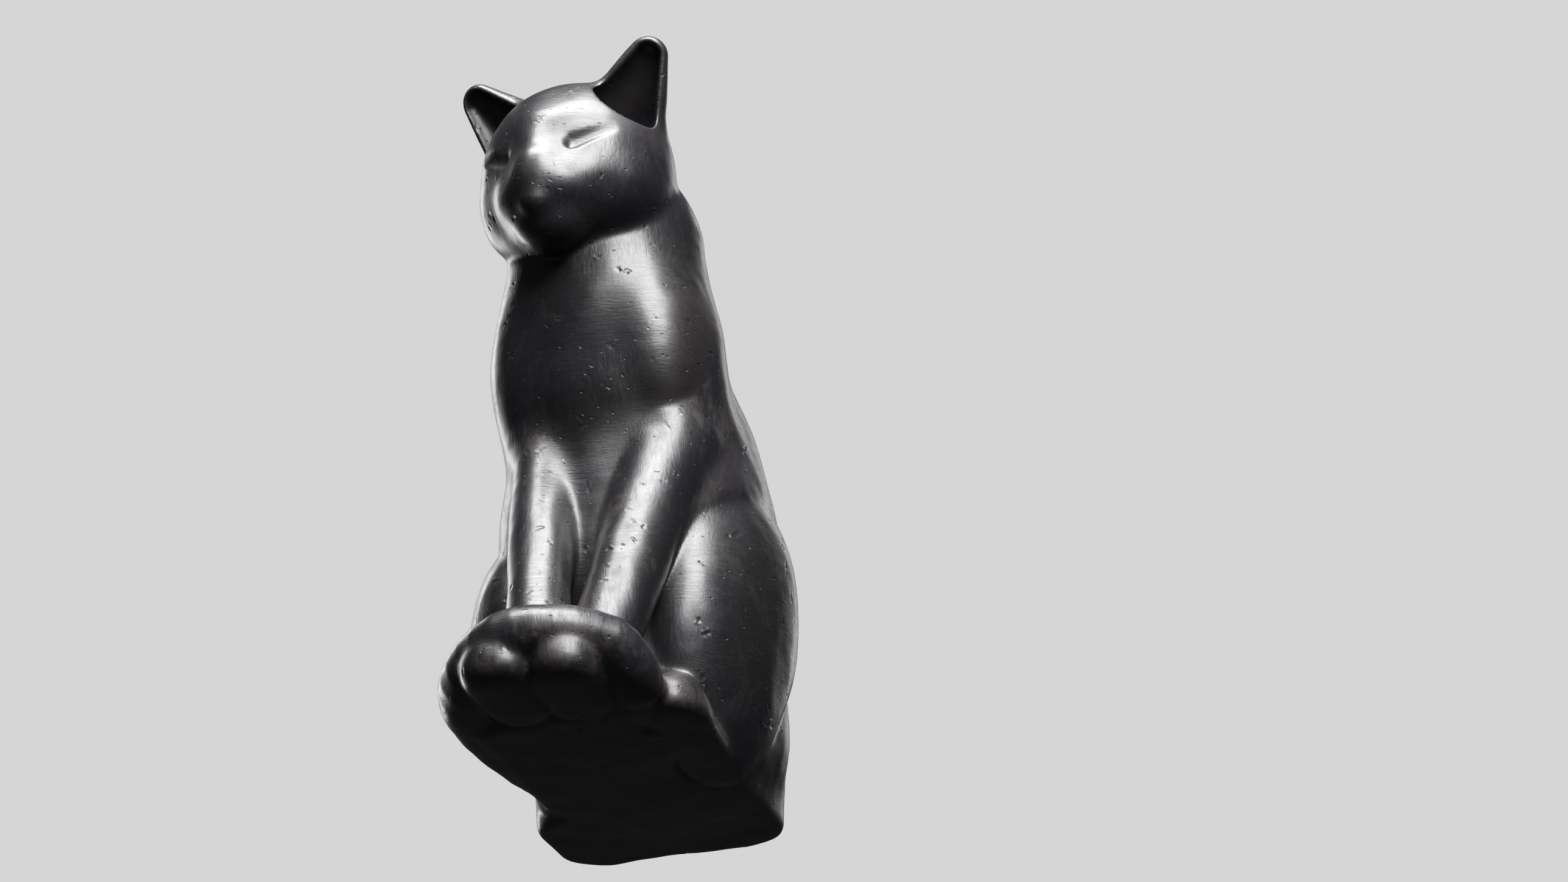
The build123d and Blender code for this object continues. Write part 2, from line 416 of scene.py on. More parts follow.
def net(labels, distance, low, step):
    """One vertex in every cell whose corners differ, and a quad across every grid edge whose ends differ."""
    n = np.array(labels.shape) - 1
    corners = [(x, y, z) for x in (0, 1) for y in (0, 1) for z in (0, 1)]
    first = labels[:-1, :-1, :-1]
    mixed = np.zeros(first.shape, bool)
    for x, y, z in corners[1:]:
        mixed |= labels[x:n[0] + x, y:n[1] + y, z:n[2] + z] != first
    cells = np.argwhere(mixed)
    number = np.full(first.shape, -1, np.int64)
    number[mixed] = np.arange(len(cells))
    at = {c: tuple((cells + c).T) for c in corners}
    label = {c: labels[at[c]] for c in corners}
    value = {c: distance[at[c]] for c in corners}
    total, weight = np.zeros((len(cells), 3)), np.zeros(len(cells))
    inner, inner_weight = np.zeros((len(cells), 3)), np.zeros(len(cells))
    for a in corners:
        for axis in range(3):
            if a[axis]:
                continue
            b = tuple(1 if i == axis else a[i] for i in range(3))
            skin = (label[a] == 0) != (label[b] == 0)
            cut = (label[a] != label[b]) & ~skin
            slope = value[a] - value[b]
            t = np.where(skin, value[a] / np.where(skin, slope, 1), 0.5)
            place = np.tile(np.array(a, float), (len(cells), 1))
            place[:, axis] += t
            total[skin] += place[skin]
            weight += skin
            inner[cut] += place[cut]
            inner_weight += cut
    skin = weight > 0
    on_skin = total / np.maximum(weight, 1)[:, None]
    on_cut = inner / np.maximum(inner_weight, 1)[:, None]
    offset = np.where(skin[:, None], on_skin, on_cut)
    vertices = (cells + offset) * step + low
    quads, owner, outer = [], [], []
    for axis in range(3):
        u, v = (axis + 1) % 3, (axis + 2) % 3
        near, far = [slice(1, -1)] * 3, [slice(1, -1)] * 3
        near[axis], far[axis] = slice(0, -1), slice(1, None)
        a, b = labels[tuple(near)], labels[tuple(far)]
        edges = np.argwhere(a != b)
        la, lb = a[tuple(edges.T)], b[tuple(edges.T)]
        one = np.ones(3, int)
        one[axis] = 0
        edges = edges + one
        du, dv = np.zeros(3, int), np.zeros(3, int)
        du[u], dv[v] = 1, 1
        ring = np.stack([number[tuple((edges - du - dv).T)], number[tuple((edges - dv).T)],
                         number[tuple(edges.T)], number[tuple((edges - du).T)]], 1)
        for mine, other, order in ((la, lb, slice(None)), (lb, la, slice(None, None, -1))):
            keep = mine > 0
            quads.append(ring[keep][:, order])
            owner.append(mine[keep])
            outer.append(other[keep] == 0)
    return vertices, skin, np.concatenate(quads), np.concatenate(owner), np.concatenate(outer)


def slope_of(points, cat, reach=0.4):
    """The direction in which the whole figurine's distance grows."""
    corners = np.array([[1, -1, -1], [-1, -1, 1], [-1, 1, -1], [1, 1, 1]], np.float32)
    slope = np.zeros((len(points), 3))
    for corner in corners:
        slope += corner * measure(points + reach * corner, cat)[:, None]
    return slope / (4 * reach)


def hand_unevenness(points, cat):
    """The slight waviness of clay smoothed by hand: heights and their slopes."""
    chance = np.random.default_rng(11)
    height, slope = np.zeros(len(points)), np.zeros((len(points), 3))
    for length, depth, waves in ((46, 0.30, 9), (19, 0.12, 12), (8, 0.035, 14)):
        for _ in range(waves):
            direction = chance.normal(size=3)
            k = direction / np.linalg.norm(direction) * 2 * math.pi / (length * chance.uniform(0.75, 1.3))
            phase = points @ k + chance.uniform(0, 2 * math.pi)
            size = depth * cat.uneven / math.sqrt(waves)
            height += size * np.sin(phase)
            slope += size * np.cos(phase)[:, None] * k
    return height, slope


def drag_marks(points, normals, cat):
    """Small chips and drag marks in the clay, each a short dent with a raised lip beside it."""
    chance = np.random.default_rng(23)
    height, slope = np.zeros(len(points)), np.zeros((len(points), 3))
    tree = KDTree(len(points))
    for i, point in enumerate(points):
        tree.insert(point, i)
    tree.balance()
    for _ in range(cat.marks):
        seed = int(chance.integers(len(points)))
        n = normals[seed]
        across = np.cross(n, chance.normal(size=3))
        across /= np.linalg.norm(across)
        along = np.cross(n, across)
        usual = chance.choice([0.8, 1.3, 2.0, 3.0], p=[0.35, 0.35, 0.2, 0.1])
        half_length = usual * chance.uniform(0.8, 1.3)
        half_width = min(half_length, chance.uniform(0.7, 1.2))
        depth = cat.mark_depth * chance.uniform(0.3, 1.0)
        for side, size, wide in ((0.0, -depth, 1.0), (1.1, depth * 0.45, 0.8)):
            centre = points[seed] + across * side * half_width
            a, b = half_length, half_width * wide
            found = [i for _, i, _ in tree.find_range(centre, max(a, b))]
            if not found:
                continue
            found = np.array(found)
            q = points[found] - centre
            u, v, w = q @ along, q @ across, q @ n
            inside = 1 - (u / a) ** 2 - (v / b) ** 2
            ok = (inside > 0) & (np.abs(w) < 2.5) & (normals[found] @ n > 0.3)
            found, u, v, inside = found[ok], u[ok], v[ok], inside[ok]
            height[found] += size * inside ** 2
            slope[found] += (size * 2 * inside)[:, None] * ((-2 * u / a ** 2)[:, None] * along
                                                           + (-2 * v / b ** 2)[:, None] * across)
    return height, slope


SCULPTED = {}


def sculpted(cat):
    """Every piece's mesh data, made once for each set of sizes."""
    key = tuple(sorted(vars(cat).items()))
    if key in SCULPTED:
        return SCULPTED[key]
    labels, distance, low = sample(cat)
    vertices, skin, quads, owner, outer = net(labels, distance, low, cat.step)
    at = np.flatnonzero(skin)
    for _ in range(2):
        slope = slope_of(vertices[at], cat)
        gap = measure(vertices[at], cat)
        move = slope * (gap / np.maximum((slope ** 2).sum(1), 0.05))[:, None]
        far = np.maximum(np.linalg.norm(move, axis=1) / cat.step, 1)
        vertices[at] -= move / far[:, None]
    normals = slope_of(vertices[at], cat)
    normals /= np.maximum(np.linalg.norm(normals, axis=1), 1e-6)[:, None]
    hollow = np.clip(1 - measure(vertices[at] + normals * 7, cat) / 7, 0, 1)
    ridge = np.clip(1 + measure(vertices[at] - normals * 7, cat) / 7, 0, 1)
    height, tilt = hand_unevenness(vertices[at], cat)
    more, more_tilt = drag_marks(vertices[at], normals, cat)
    height, tilt = height + more, tilt + more_tilt
    flat = np.clip(1 - vertices[at][:, 2] / 1.5, 0, 1) * (normals[:, 2] < -0.9)
    height = height * (1 - 0.6 * flat)
    vertices[at] += normals * height[:, None]
    vertices[:, 2] = np.maximum(vertices[:, 2], 0)
    tilt -= normals * (tilt * normals).sum(1)[:, None]
    normals = normals - tilt
    normals /= np.linalg.norm(normals, axis=1)[:, None]
    every = np.zeros((len(vertices), 3))
    every[at] = normals
    marks = {"hollow": np.zeros(len(vertices)), "ridge": np.zeros(len(vertices))}
    marks["hollow"][at], marks["ridge"][at] = hollow, ridge
    made = {}
    for number, name in enumerate(PIECES, 1):
        mine = owner == number
        faces, skin_face = quads[mine], outer[mine]
        used, faces = np.unique(faces, return_inverse=True)
        made[name] = {"vertices": vertices[used], "faces": faces.reshape(-1, 4), "outer": skin_face,
                      "normals": every[used], "marks": {k: v[used] for k, v in marks.items()}}
    SCULPTED.clear()
    SCULPTED[key] = made
    return made


def figurine_piece(name, cat, material):
    """Makes one closed piece that stands for the frame's node of that name."""
    data = sculpted(cat)[name]
    mesh = bpy.data.meshes.new(name)
    count = len(data["faces"])
    if count == 0:
        raise RuntimeError(f"{name} has no surface at these sizes")
    mesh.vertices.add(len(data["vertices"]))
    mesh.vertices.foreach_set("co", (data["vertices"] * MM).astype(np.float32).ravel())
    mesh.loops.add(count * 4)
    mesh.loops.foreach_set("vertex_index", data["faces"].astype(np.int32).ravel())
    mesh.polygons.add(count)
    mesh.polygons.foreach_set("loop_start", np.arange(0, count * 4, 4, dtype=np.int32))
    mesh.update(calc_edges=True)
    mesh.validate()
    if len(mesh.polygons) != count:
        raise RuntimeError(f"{name} lost faces when it was checked")
    mesh.shade_smooth()
    faces = data["faces"]
    corners = data["vertices"][faces]
    flat = np.cross(corners[:, 2] - corners[:, 0], corners[:, 3] - corners[:, 1])
    flat /= np.maximum(np.linalg.norm(flat, axis=1), 1e-9)[:, None]
    loops = np.where(data["outer"][:, None, None], data["normals"][faces], flat[:, None, :]).reshape(-1, 3)
    mesh.normals_split_custom_set(loops.astype(np.float32))
    for mark, values in data["marks"].items():
        layer = mesh.attributes.new(mark, "FLOAT", "POINT")
        layer.data.foreach_set("value", values.astype(np.float32))
    mesh.materials.append(material)
    piece = bpy.data.objects.new(name + "_glazed", mesh)
    bpy.context.scene.collection.objects.link(piece)
    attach(piece, "root")
    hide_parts(name)
    return piece


# ---- the glaze ----

LARGE_HOLE_SPACING = 0.42       # closeness of the large pinholes as a share of the small ones'
LARGE_HOLE_SHARE = 0.25         # share of places with a large pinhole, likewise
# painted shade: a darker black for inside the pinholes, where shade falls
PINHOLE_PAINTED_SHADE = (0.006, 0.006, 0.007)
RELIEF_DEPTH = 0.0004           # metres
BODY_RUBBED = 0.35              # how rubbed the body is beside the limbs


def new_group(name, inputs, outputs):
    """A shader node group with named sockets, and its input and output nodes."""
    group = bpy.data.node_groups.new(name, "ShaderNodeTree")
    for socket, kind, default in inputs:
        made = group.interface.new_socket(name=socket, in_out="INPUT", socket_type=kind)
        if default is not None:
            made.default_value = default
    for socket, kind in outputs:
        group.interface.new_socket(name=socket, in_out="OUTPUT", socket_type=kind)
    return group, group.nodes.new("NodeGroupInput"), group.nodes.new("NodeGroupOutput")


def maths(tree, operation, a, b=None, c=None):
    """One Math node; each value is a socket or a plain number."""
    node = tree.nodes.new("ShaderNodeMath")
    node.operation = operation
    for socket, value in zip(node.inputs, (a, b, c)):
        if isinstance(value, (int, float)):
            socket.default_value = value
        elif value is not None:
            tree.links.new(value, socket)
    return node.outputs[0]


def ramp(tree, value, low, high, to_low=0.0, to_high=1.0):
    """Turns low..high smoothly into to_low..to_high."""
    node = tree.nodes.new("ShaderNodeMapRange")
    node.interpolation_type = "SMOOTHSTEP"
    tree.links.new(value, node.inputs["Value"])
    for socket, number in zip(("From Min", "From Max", "To Min", "To Max"), (low, high, to_low, to_high)):
        node.inputs[socket].default_value = number
    return node.outputs["Result"]


def noise(tree, vector, scale, detail=3.0, rough=0.5, distort=0.0):
    """A Noise Texture's value, scaled in cells a metre."""
    node = tree.nodes.new("ShaderNodeTexNoise")
    node.inputs["Detail"].default_value = detail
    node.inputs["Roughness"].default_value = rough
    node.inputs["Distortion"].default_value = distort
    tree.links.new(vector, node.inputs["Vector"])
    if isinstance(scale, (int, float)):
        node.inputs["Scale"].default_value = scale
    else:
        tree.links.new(scale, node.inputs["Scale"])
    return node.outputs[0]


def squeezed(tree, vector, scale, turn):
    """Turns and stretches the place that a texture is read at."""
    node = tree.nodes.new("ShaderNodeMapping")
    node.inputs["Scale"].default_value = scale
    node.inputs["Rotation"].default_value = turn
    tree.links.new(vector, node.inputs["Vector"])
    return node.outputs[0]


def pinhole_group():
    """Small open pinholes and nicks, in loose clusters."""
    if "glaze_pinholes" in bpy.data.node_groups:
        return bpy.data.node_groups["glaze_pinholes"]
    group, given, result = new_group(
        "glaze_pinholes",
        [("Vector", "NodeSocketVector", None), ("Spacing", "NodeSocketFloat", 160.0),
         ("Amount", "NodeSocketFloat", 0.5)],
        [("Height", "NodeSocketFloat"), ("Mask", "NodeSocketFloat")])
    wobble = group.nodes.new("ShaderNodeTexNoise")
    wobble.inputs["Scale"].default_value = 260
    group.links.new(given.outputs["Vector"], wobble.inputs["Vector"])
    shift = group.nodes.new("ShaderNodeVectorMath")
    shift.operation = "MULTIPLY_ADD"
    group.links.new(wobble.outputs["Color"], shift.inputs[0])
    shift.inputs[1].default_value = (0.0035,) * 3
    group.links.new(given.outputs["Vector"], shift.inputs[2])
    cells = group.nodes.new("ShaderNodeTexVoronoi")
    cells.inputs["Randomness"].default_value = 1.0
    drawn_out = squeezed(group, shift.outputs[0], (1.0, 1.0, 1.9), (0.5, 0.9, 0.3))
    group.links.new(drawn_out, cells.inputs["Vector"])
    group.links.new(given.outputs["Spacing"], cells.inputs["Scale"])
    apart = group.nodes.new("ShaderNodeSeparateColor")
    group.links.new(cells.outputs["Color"], apart.inputs[0])
    clusters = noise(group, given.outputs["Vector"], 38, 2)
    chosen = maths(group, "MULTIPLY", given.outputs["Amount"], ramp(group, clusters, 0.38, 0.66, 0.25, 1.6))
    present = maths(group, "LESS_THAN", apart.outputs[0], chosen)
    hole = maths(group, "MULTIPLY", ramp(group, cells.outputs["Distance"], 0.10, 0.30, 1.0, 0.0), present)
    group.links.new(hole, result.inputs["Mask"])
    group.links.new(maths(group, "MULTIPLY", hole, -1.0), result.inputs["Height"])
    return group


def brush_group():
    """Fine streaks left by the brush and the burnishing stone, in patches that run different ways."""
    if "glaze_brushing" in bpy.data.node_groups:
        return bpy.data.node_groups["glaze_brushing"]
    group, given, result = new_group(
        "glaze_brushing", [("Vector", "NodeSocketVector", None), ("Scale", "NodeSocketFloat", 160.0)],
        [("Height", "NodeSocketFloat"), ("Streaks", "NodeSocketFloat")])
    first = noise(group, squeezed(group, given.outputs["Vector"], (1.0, 1.0, 6.0), (0.5, 0.35, 0.0)),
                  given.outputs["Scale"], 4, 0.6, 0.6)
    second = noise(group, squeezed(group, given.outputs["Vector"], (5.0, 1.0, 1.0), (0.2, 0.9, 0.6)),
                   given.outputs["Scale"], 4, 0.6, 0.8)
    patch = ramp(group, noise(group, given.outputs["Vector"], 26, 1), 0.42, 0.58)
    mix = group.nodes.new("ShaderNodeMix")
    group.links.new(patch, mix.inputs[0])
    group.links.new(first, mix.inputs[2])
    group.links.new(second, mix.inputs[3])
    group.links.new(mix.outputs[0], result.inputs["Height"])
    group.links.new(ramp(group, mix.outputs[0], 0.35, 0.7), result.inputs["Streaks"])
    return group


def rubbed_group():
    """Where the black has rubbed thin to the rusty slip beneath: high places, and blotches down the legs."""
    if "glaze_rubbed" in bpy.data.node_groups:
        return bpy.data.node_groups["glaze_rubbed"]
    group, given, result = new_group(
        "glaze_rubbed",
        [("Vector", "NodeSocketVector", None), ("Ridge", "NodeSocketFloat", 0.0),
         ("Amount", "NodeSocketFloat", 0.5)],
        [("Mask", "NodeSocketFloat"), ("Specks", "NodeSocketFloat")])
    broad = noise(group, given.outputs["Vector"], 42, 4, 0.62, 0.5)
    upright = squeezed(group, given.outputs["Vector"], (1.6, 1.6, 0.7), (0.25, 0.0, 0.0))
    streaky = noise(group, upright, 210, 4, 0.65, 0.4)
    both = maths(group, "MULTIPLY_ADD", broad, 0.6, maths(group, "MULTIPLY", streaky, 0.4))
    lifted = maths(group, "MULTIPLY_ADD", given.outputs["Ridge"], 0.22, both)
    mask = maths(group, "MULTIPLY", ramp(group, lifted, 0.50, 0.66), given.outputs["Amount"])
    group.links.new(mask, result.inputs["Mask"])
    specks = ramp(group, noise(group, given.outputs["Vector"], 640, 2, 0.5), 0.66, 0.74)
    group.links.new(maths(group, "MULTIPLY", specks, ramp(group, broad, 0.42, 0.6)), result.inputs["Specks"])
    return group


def place(tree, group, **values):
    """Puts a node group in a material, its named inputs set or linked."""
    node = tree.nodes.new("ShaderNodeGroup")
    node.node_tree = group
    for name, value in values.items():
        if isinstance(value, (int, float)):
            node.inputs[name].default_value = value
        else:
            tree.links.new(value, node.inputs[name])
    return node.outputs


def shade_mix(tree, factor, first, second):
    """Mixes two colours, each a socket or plain numbers."""
    node = tree.nodes.new("ShaderNodeMix")
    node.data_type = "RGBA"
    tree.links.new(factor, node.inputs[0])
    for socket, colour in ((node.inputs[6], first), (node.inputs[7], second)):
        if isinstance(colour, bpy.types.NodeSocket):
            tree.links.new(colour, socket)
        else:
            socket.default_value = (*colour, 1.0)
    return node.outputs[2]


def glaze(name, rubbed):
    """Black satin glaze over dark clay, burnished and handled."""
    if name in bpy.data.materials:
        return bpy.data.materials[name]
    look = bpy.context.scene.cat_glaze
    material = bpy.data.materials.new(name)
    material.use_nodes = True
    tree = material.node_tree
    shader = tree.nodes["Principled BSDF"]
    where = tree.nodes.new("ShaderNodeTexCoord").outputs["Object"]
    ridge, hollow = (tree.nodes.new("ShaderNodeAttribute") for _ in range(2))
    ridge.attribute_name, hollow.attribute_name = "ridge", "hollow"
    worn = place(tree, rubbed_group(), Vector=where, Ridge=ridge.outputs["Fac"], Amount=rubbed)
    holes = place(tree, pinhole_group(), Vector=where, Spacing=look.pinhole_spacing, Amount=look.pinholes)
    large = place(tree, pinhole_group(), Vector=where, Spacing=look.pinhole_spacing * LARGE_HOLE_SPACING,
                  Amount=look.pinholes * LARGE_HOLE_SHARE)
    brush = place(tree, brush_group(), Vector=where, Scale=look.brush_scale)
    tint = ramp(tree, noise(tree, where, 24, 3, 0.55), 0.35, 0.65)
    base = shade_mix(tree, tint, tuple(look.colour), tuple(look.cool_colour))
    base = shade_mix(tree, worn["Mask"], base, tuple(look.rubbed_colour))
    base = shade_mix(tree, maths(tree, "MULTIPLY", worn["Specks"], 0.3), base, tuple(look.speck_colour))
    dust = maths(tree, "MULTIPLY", hollow.outputs["Fac"], look.dust)
    base = shade_mix(tree, dust, base, tuple(look.dust_colour))
    # painted shade: darkens the glaze's colour inside the pinholes
    base = shade_mix(tree, maths(tree, "MULTIPLY", holes["Mask"], 0.8), base, PINHOLE_PAINTED_SHADE)
    tree.links.new(base, shader.inputs["Base Color"])
    rough = maths(tree, "MULTIPLY_ADD", worn["Mask"], 0.16, look.roughness)
    rough = maths(tree, "MULTIPLY_ADD", brush["Streaks"], 0.07, rough)
    rough = maths(tree, "SUBTRACT", rough, 0.05)
    rough = maths(tree, "MULTIPLY_ADD", noise(tree, where, 30, 3), 0.10, rough)
    rough = maths(tree, "MULTIPLY_ADD", holes["Mask"], 0.25, rough)
    tree.links.new(rough, shader.inputs["Roughness"])
    relief = maths(tree, "MULTIPLY_ADD", holes["Height"], 0.8, maths(tree, "MULTIPLY", brush["Height"], 0.5))
    relief = maths(tree, "MULTIPLY_ADD", large["Height"], 1.6, relief)
    relief = maths(tree, "MULTIPLY_ADD", noise(tree, where, 420, 3, 0.6), 0.18, relief)
    bump = tree.nodes.new("ShaderNodeBump")
    bump.inputs["Strength"].default_value = look.relief
    bump.inputs["Distance"].default_value = RELIEF_DEPTH
    tree.links.new(relief, bump.inputs["Height"])
    tree.links.new(bump.outputs[0], shader.inputs["Normal"])
    shader.inputs["Metallic"].default_value = 0.0
    shader.inputs["IOR"].default_value = look.gloss
    shader.inputs["Coat Weight"].default_value = look.coat
    shader.inputs["Coat Roughness"].default_value = 0.22
    shader.inputs["Coat IOR"].default_value = 1.5
    return material


def body_glaze():
    """For the body, head, ears, haunches and base."""
    look = bpy.context.scene.cat_glaze
    return glaze("black_glaze_burnished", look.rubbed * BODY_RUBBED)


def limb_glaze():
    """For the legs, paws and tail, which hands have rubbed."""
    return glaze("black_glaze_handled", bpy.context.scene.cat_glaze.rubbed)


# ---- sizes and colours a user may change ----


class CatForm(bpy.types.PropertyGroup):
    """Sizes of the sculpture."""

    back_width: FloatProperty(
        name="Back width", description="Width of the rump and lower back", default=0.094, min=0.06,
        max=0.12, unit="LENGTH", subtype="DISTANCE")
    shoulder_width: FloatProperty(
        name="Shoulder width", description="Width across the shoulders", default=0.088, min=0.06,
        max=0.11, unit="LENGTH", subtype="DISTANCE")
    neck_width: FloatProperty(
        name="Neck width", description="Thickness of the neck", default=0.074, min=0.04, max=0.09,
        unit="LENGTH", subtype="DISTANCE")
    head_width: FloatProperty(
        name="Head width", description="Width of the skull", default=0.073, min=0.05, max=0.09,
        unit="LENGTH", subtype="DISTANCE")
    head_turn: FloatProperty(
        name="Head turn", description="How far the head looks to its right", default=math.radians(4),
        min=0, max=math.radians(30), unit="ROTATION", subtype="ANGLE")
    head_bow: FloatProperty(
        name="Head bow", description="How far the head is bowed", default=math.radians(11), min=0,
        max=math.radians(30), unit="ROTATION", subtype="ANGLE")
    ear_height: FloatProperty(
        name="Ear height", description="From the head's centre to the ear tips", default=0.056,
        min=0.04, max=0.07, unit="LENGTH", subtype="DISTANCE")
    haunch_width: FloatProperty(
        name="Haunch width", description="Thickness of each thigh", default=0.040, min=0.02, max=0.06,
        unit="LENGTH", subtype="DISTANCE")
    tail_width: FloatProperty(
        name="Tail width", description="Thickness of the tail", default=0.022, min=0.01, max=0.03,
        unit="LENGTH", subtype="DISTANCE")
    uneven: FloatProperty(
        name="Unevenness", description="How wavy the hand smoothing left the clay", default=1.0, min=0,
        max=3)
    marks: IntProperty(
        name="Drag marks", description="How many chips and drag marks the clay has", default=650, min=0,
        max=4000)
    mark_depth: FloatProperty(
        name="Mark depth", description="Depth of the deepest marks", default=0.00026, min=0, max=0.002,
        unit="LENGTH", subtype="DISTANCE")
    step: FloatProperty(
        name="Mesh step", description="Spacing of the mesh over the surface", default=0.001, min=0.0005,
        max=0.004, unit="LENGTH", subtype="DISTANCE")


class CatGlaze(bpy.types.PropertyGroup):
    """Colours and finish of the glaze."""

    colour: FloatVectorProperty(
        name="Glaze", description="Black of the glaze", subtype="COLOR", default=(0.009, 0.009, 0.0095),
        min=0, max=1)
    cool_colour: FloatVectorProperty(
        name="Cool tint", description="Bluish black of the thicker glaze", subtype="COLOR",
        default=(0.010, 0.010, 0.015), min=0, max=1)
    rubbed_colour: FloatVectorProperty(
        name="Rubbed", description="Rusty slip where the black is thin", subtype="COLOR",
        default=(0.040, 0.029, 0.025), min=0, max=1)
    speck_colour: FloatVectorProperty(
        name="Specks", description="Pale mineral specks", subtype="COLOR", default=(0.07, 0.06, 0.052),
        min=0, max=1)
    dust_colour: FloatVectorProperty(
        name="Dust", description="Dry polish left in the hollows", subtype="COLOR",
        default=(0.022, 0.021, 0.020), min=0, max=1)
    dust: FloatProperty(
        name="Dust amount", description="How much dry polish the hollows hold", default=0.5, min=0,
        max=1)
    rubbed: FloatProperty(
        name="Rubbed amount", description="How much of the black is rubbed thin", default=0.75, min=0,
        max=1)
    roughness: FloatProperty(
        name="Roughness", description="Roughness of the satin glaze", default=0.36, min=0.05, max=1)
    gloss: FloatProperty(
        name="Glaze index", description="Refractive index of the glaze", default=1.6, min=1.2, max=2.5)
    coat: FloatProperty(
        name="Wax", description="Thin wax polish over the glaze", default=0.2, min=0, max=1)
    relief: FloatProperty(
        name="Fine relief", description="Strength of pinholes and brush streaks", default=0.6, min=0,
        max=2)
    pinholes: FloatProperty(
        name="Pinholes", description="Share of places that hold a pinhole", default=0.13, min=0, max=1)
    pinhole_spacing: FloatProperty(
        name="Pinhole closeness", description="Pinhole places in a metre", default=330, min=50,
        max=1000)
    brush_scale: FloatProperty(
        name="Brush scale", description="Brush streaks in a metre", default=190, min=20, max=800)


class CatStage(bpy.types.PropertyGroup):
    """The floor and the studio lights."""

    floor_colour: FloatVectorProperty(
        name="Floor", description="Colour of the plain floor", subtype="COLOR",
        default=(0.67, 0.67, 0.67), min=0, max=1)
    key: FloatProperty(
        name="Key light", description="Power of the front softbox in watts", default=20.0, min=0,
        unit="POWER")
    top: FloatProperty(
        name="Top light", description="Power of the overhead softbox in watts", default=26.0, min=0,
        unit="POWER")
    rim: FloatProperty(
        name="Rim light", description="Power of the strip at the cat's right in watts", default=3.5,
        min=0, unit="POWER")
    back: FloatProperty(
        name="Back light", description="Power of the strip behind in watts", default=1.3, min=0,
        unit="POWER")


def form():
    """The sculpture's sizes in millimetres and degrees."""
    given = bpy.context.scene.cat_form
    lengths = ("back_width", "shoulder_width", "neck_width", "head_width", "ear_height", "haunch_width",
               "tail_width", "mark_depth", "step")
    sizes = {name: getattr(given, name) / MM for name in lengths}
    sizes.update(head_turn=math.degrees(given.head_turn), head_bow=math.degrees(given.head_bow),
                 uneven=given.uneven, marks=given.marks)
    return SimpleNamespace(**sizes)


# ---- operators, one for each piece or group of like pieces ----


class FIGURINE_OT_base(bpy.types.Operator):
    """Adds the base plate that closes the body"""

    bl_idname = "figurine.add_base"
    bl_label = "Base plate"

    def execute(self, context):
        figurine_piece("base_plate", form(), body_glaze())
        return {"FINISHED"}


class FIGURINE_OT_body(bpy.types.Operator):
    """Adds the back, chest and neck"""

    bl_idname = "figurine.add_body"
    bl_label = "Body"

    def execute(self, context):
        figurine_piece("body", form(), body_glaze())
        return {"FINISHED"}


class FIGURINE_OT_head(bpy.types.Operator):
    """Adds the head with its closed eyes"""

    bl_idname = "figurine.add_head"
    bl_label = "Head"

    def execute(self, context):
        figurine_piece("head", form(), body_glaze())
        return {"FINISHED"}


class FIGURINE_OT_ears(bpy.types.Operator):
    """Adds the two cupped ears"""

    bl_idname = "figurine.add_ears"
    bl_label = "Ears"

    def execute(self, context):
        for name in ("left_ear", "right_ear"):
            figurine_piece(name, form(), body_glaze())
        return {"FINISHED"}


class FIGURINE_OT_forelegs(bpy.types.Operator):
    """Adds the two forelegs"""

    bl_idname = "figurine.add_forelegs"
    bl_label = "Forelegs"

    def execute(self, context):
        for name in ("left_foreleg", "right_foreleg"):
            figurine_piece(name, form(), limb_glaze())
        return {"FINISHED"}


class FIGURINE_OT_forepaws(bpy.types.Operator):
    """Adds the two forepaws"""

    bl_idname = "figurine.add_forepaws"
    bl_label = "Forepaws"

    def execute(self, context):
        for name in ("left_forepaw", "right_forepaw"):
            figurine_piece(name, form(), limb_glaze())
        return {"FINISHED"}


class FIGURINE_OT_haunches(bpy.types.Operator):
    """Adds the two haunches"""

    bl_idname = "figurine.add_haunches"
    bl_label = "Haunches"

    def execute(self, context):
        for name in ("left_haunch", "right_haunch"):
            figurine_piece(name, form(), body_glaze())
        return {"FINISHED"}


class FIGURINE_OT_hind_paw(bpy.types.Operator):
    """Adds the left hind paw"""

    bl_idname = "figurine.add_hind_paw"
    bl_label = "Hind paw"

    def execute(self, context):
        figurine_piece("left_hind_paw", form(), limb_glaze())
        return {"FINISHED"}


class FIGURINE_OT_tail(bpy.types.Operator):
    """Adds the tail that wraps over the paws"""

    bl_idname = "figurine.add_tail"
    bl_label = "Tail"

    def execute(self, context):
        figurine_piece("tail", form(), limb_glaze())
        return {"FINISHED"}


# ---- the stage ----

FLOOR_REACH = 6.0               # half the floor's side, metres
FLOOR_DROP = 0.0003             # how far the floor lies below the figurine
SOFTBOXES = (                   # name, azimuth, elevation, distance, width and height, degrees and metres
    ("key_softbox", 40, 32, 1.1, 0.6, 0.6),
    ("top_softbox", 15, 66, 1.1, 0.9, 0.5),
    ("rim_strip", -124, 18, 1.0, 0.25, 0.9),
    ("back_strip", 168, 28, 1.1, 0.3, 0.7),
)
CAMERA_AIM = Vector((0, 0, 0.14))
CAMERA_AZIMUTH, CAMERA_ELEVATION, CAMERA_DISTANCE = math.radians(21), math.radians(-31), 0.95
CAMERA_TURN = tuple(math.radians(angle) for angle in (120.142, 2.038, 17.495))
CAMERA_LENS = 59.744            # millimetres, on a 36 mm wide sensor
AIR_COLOUR = (0.9, 0.93, 1.0, 1.0)
AIR_STRENGTH = 0.04


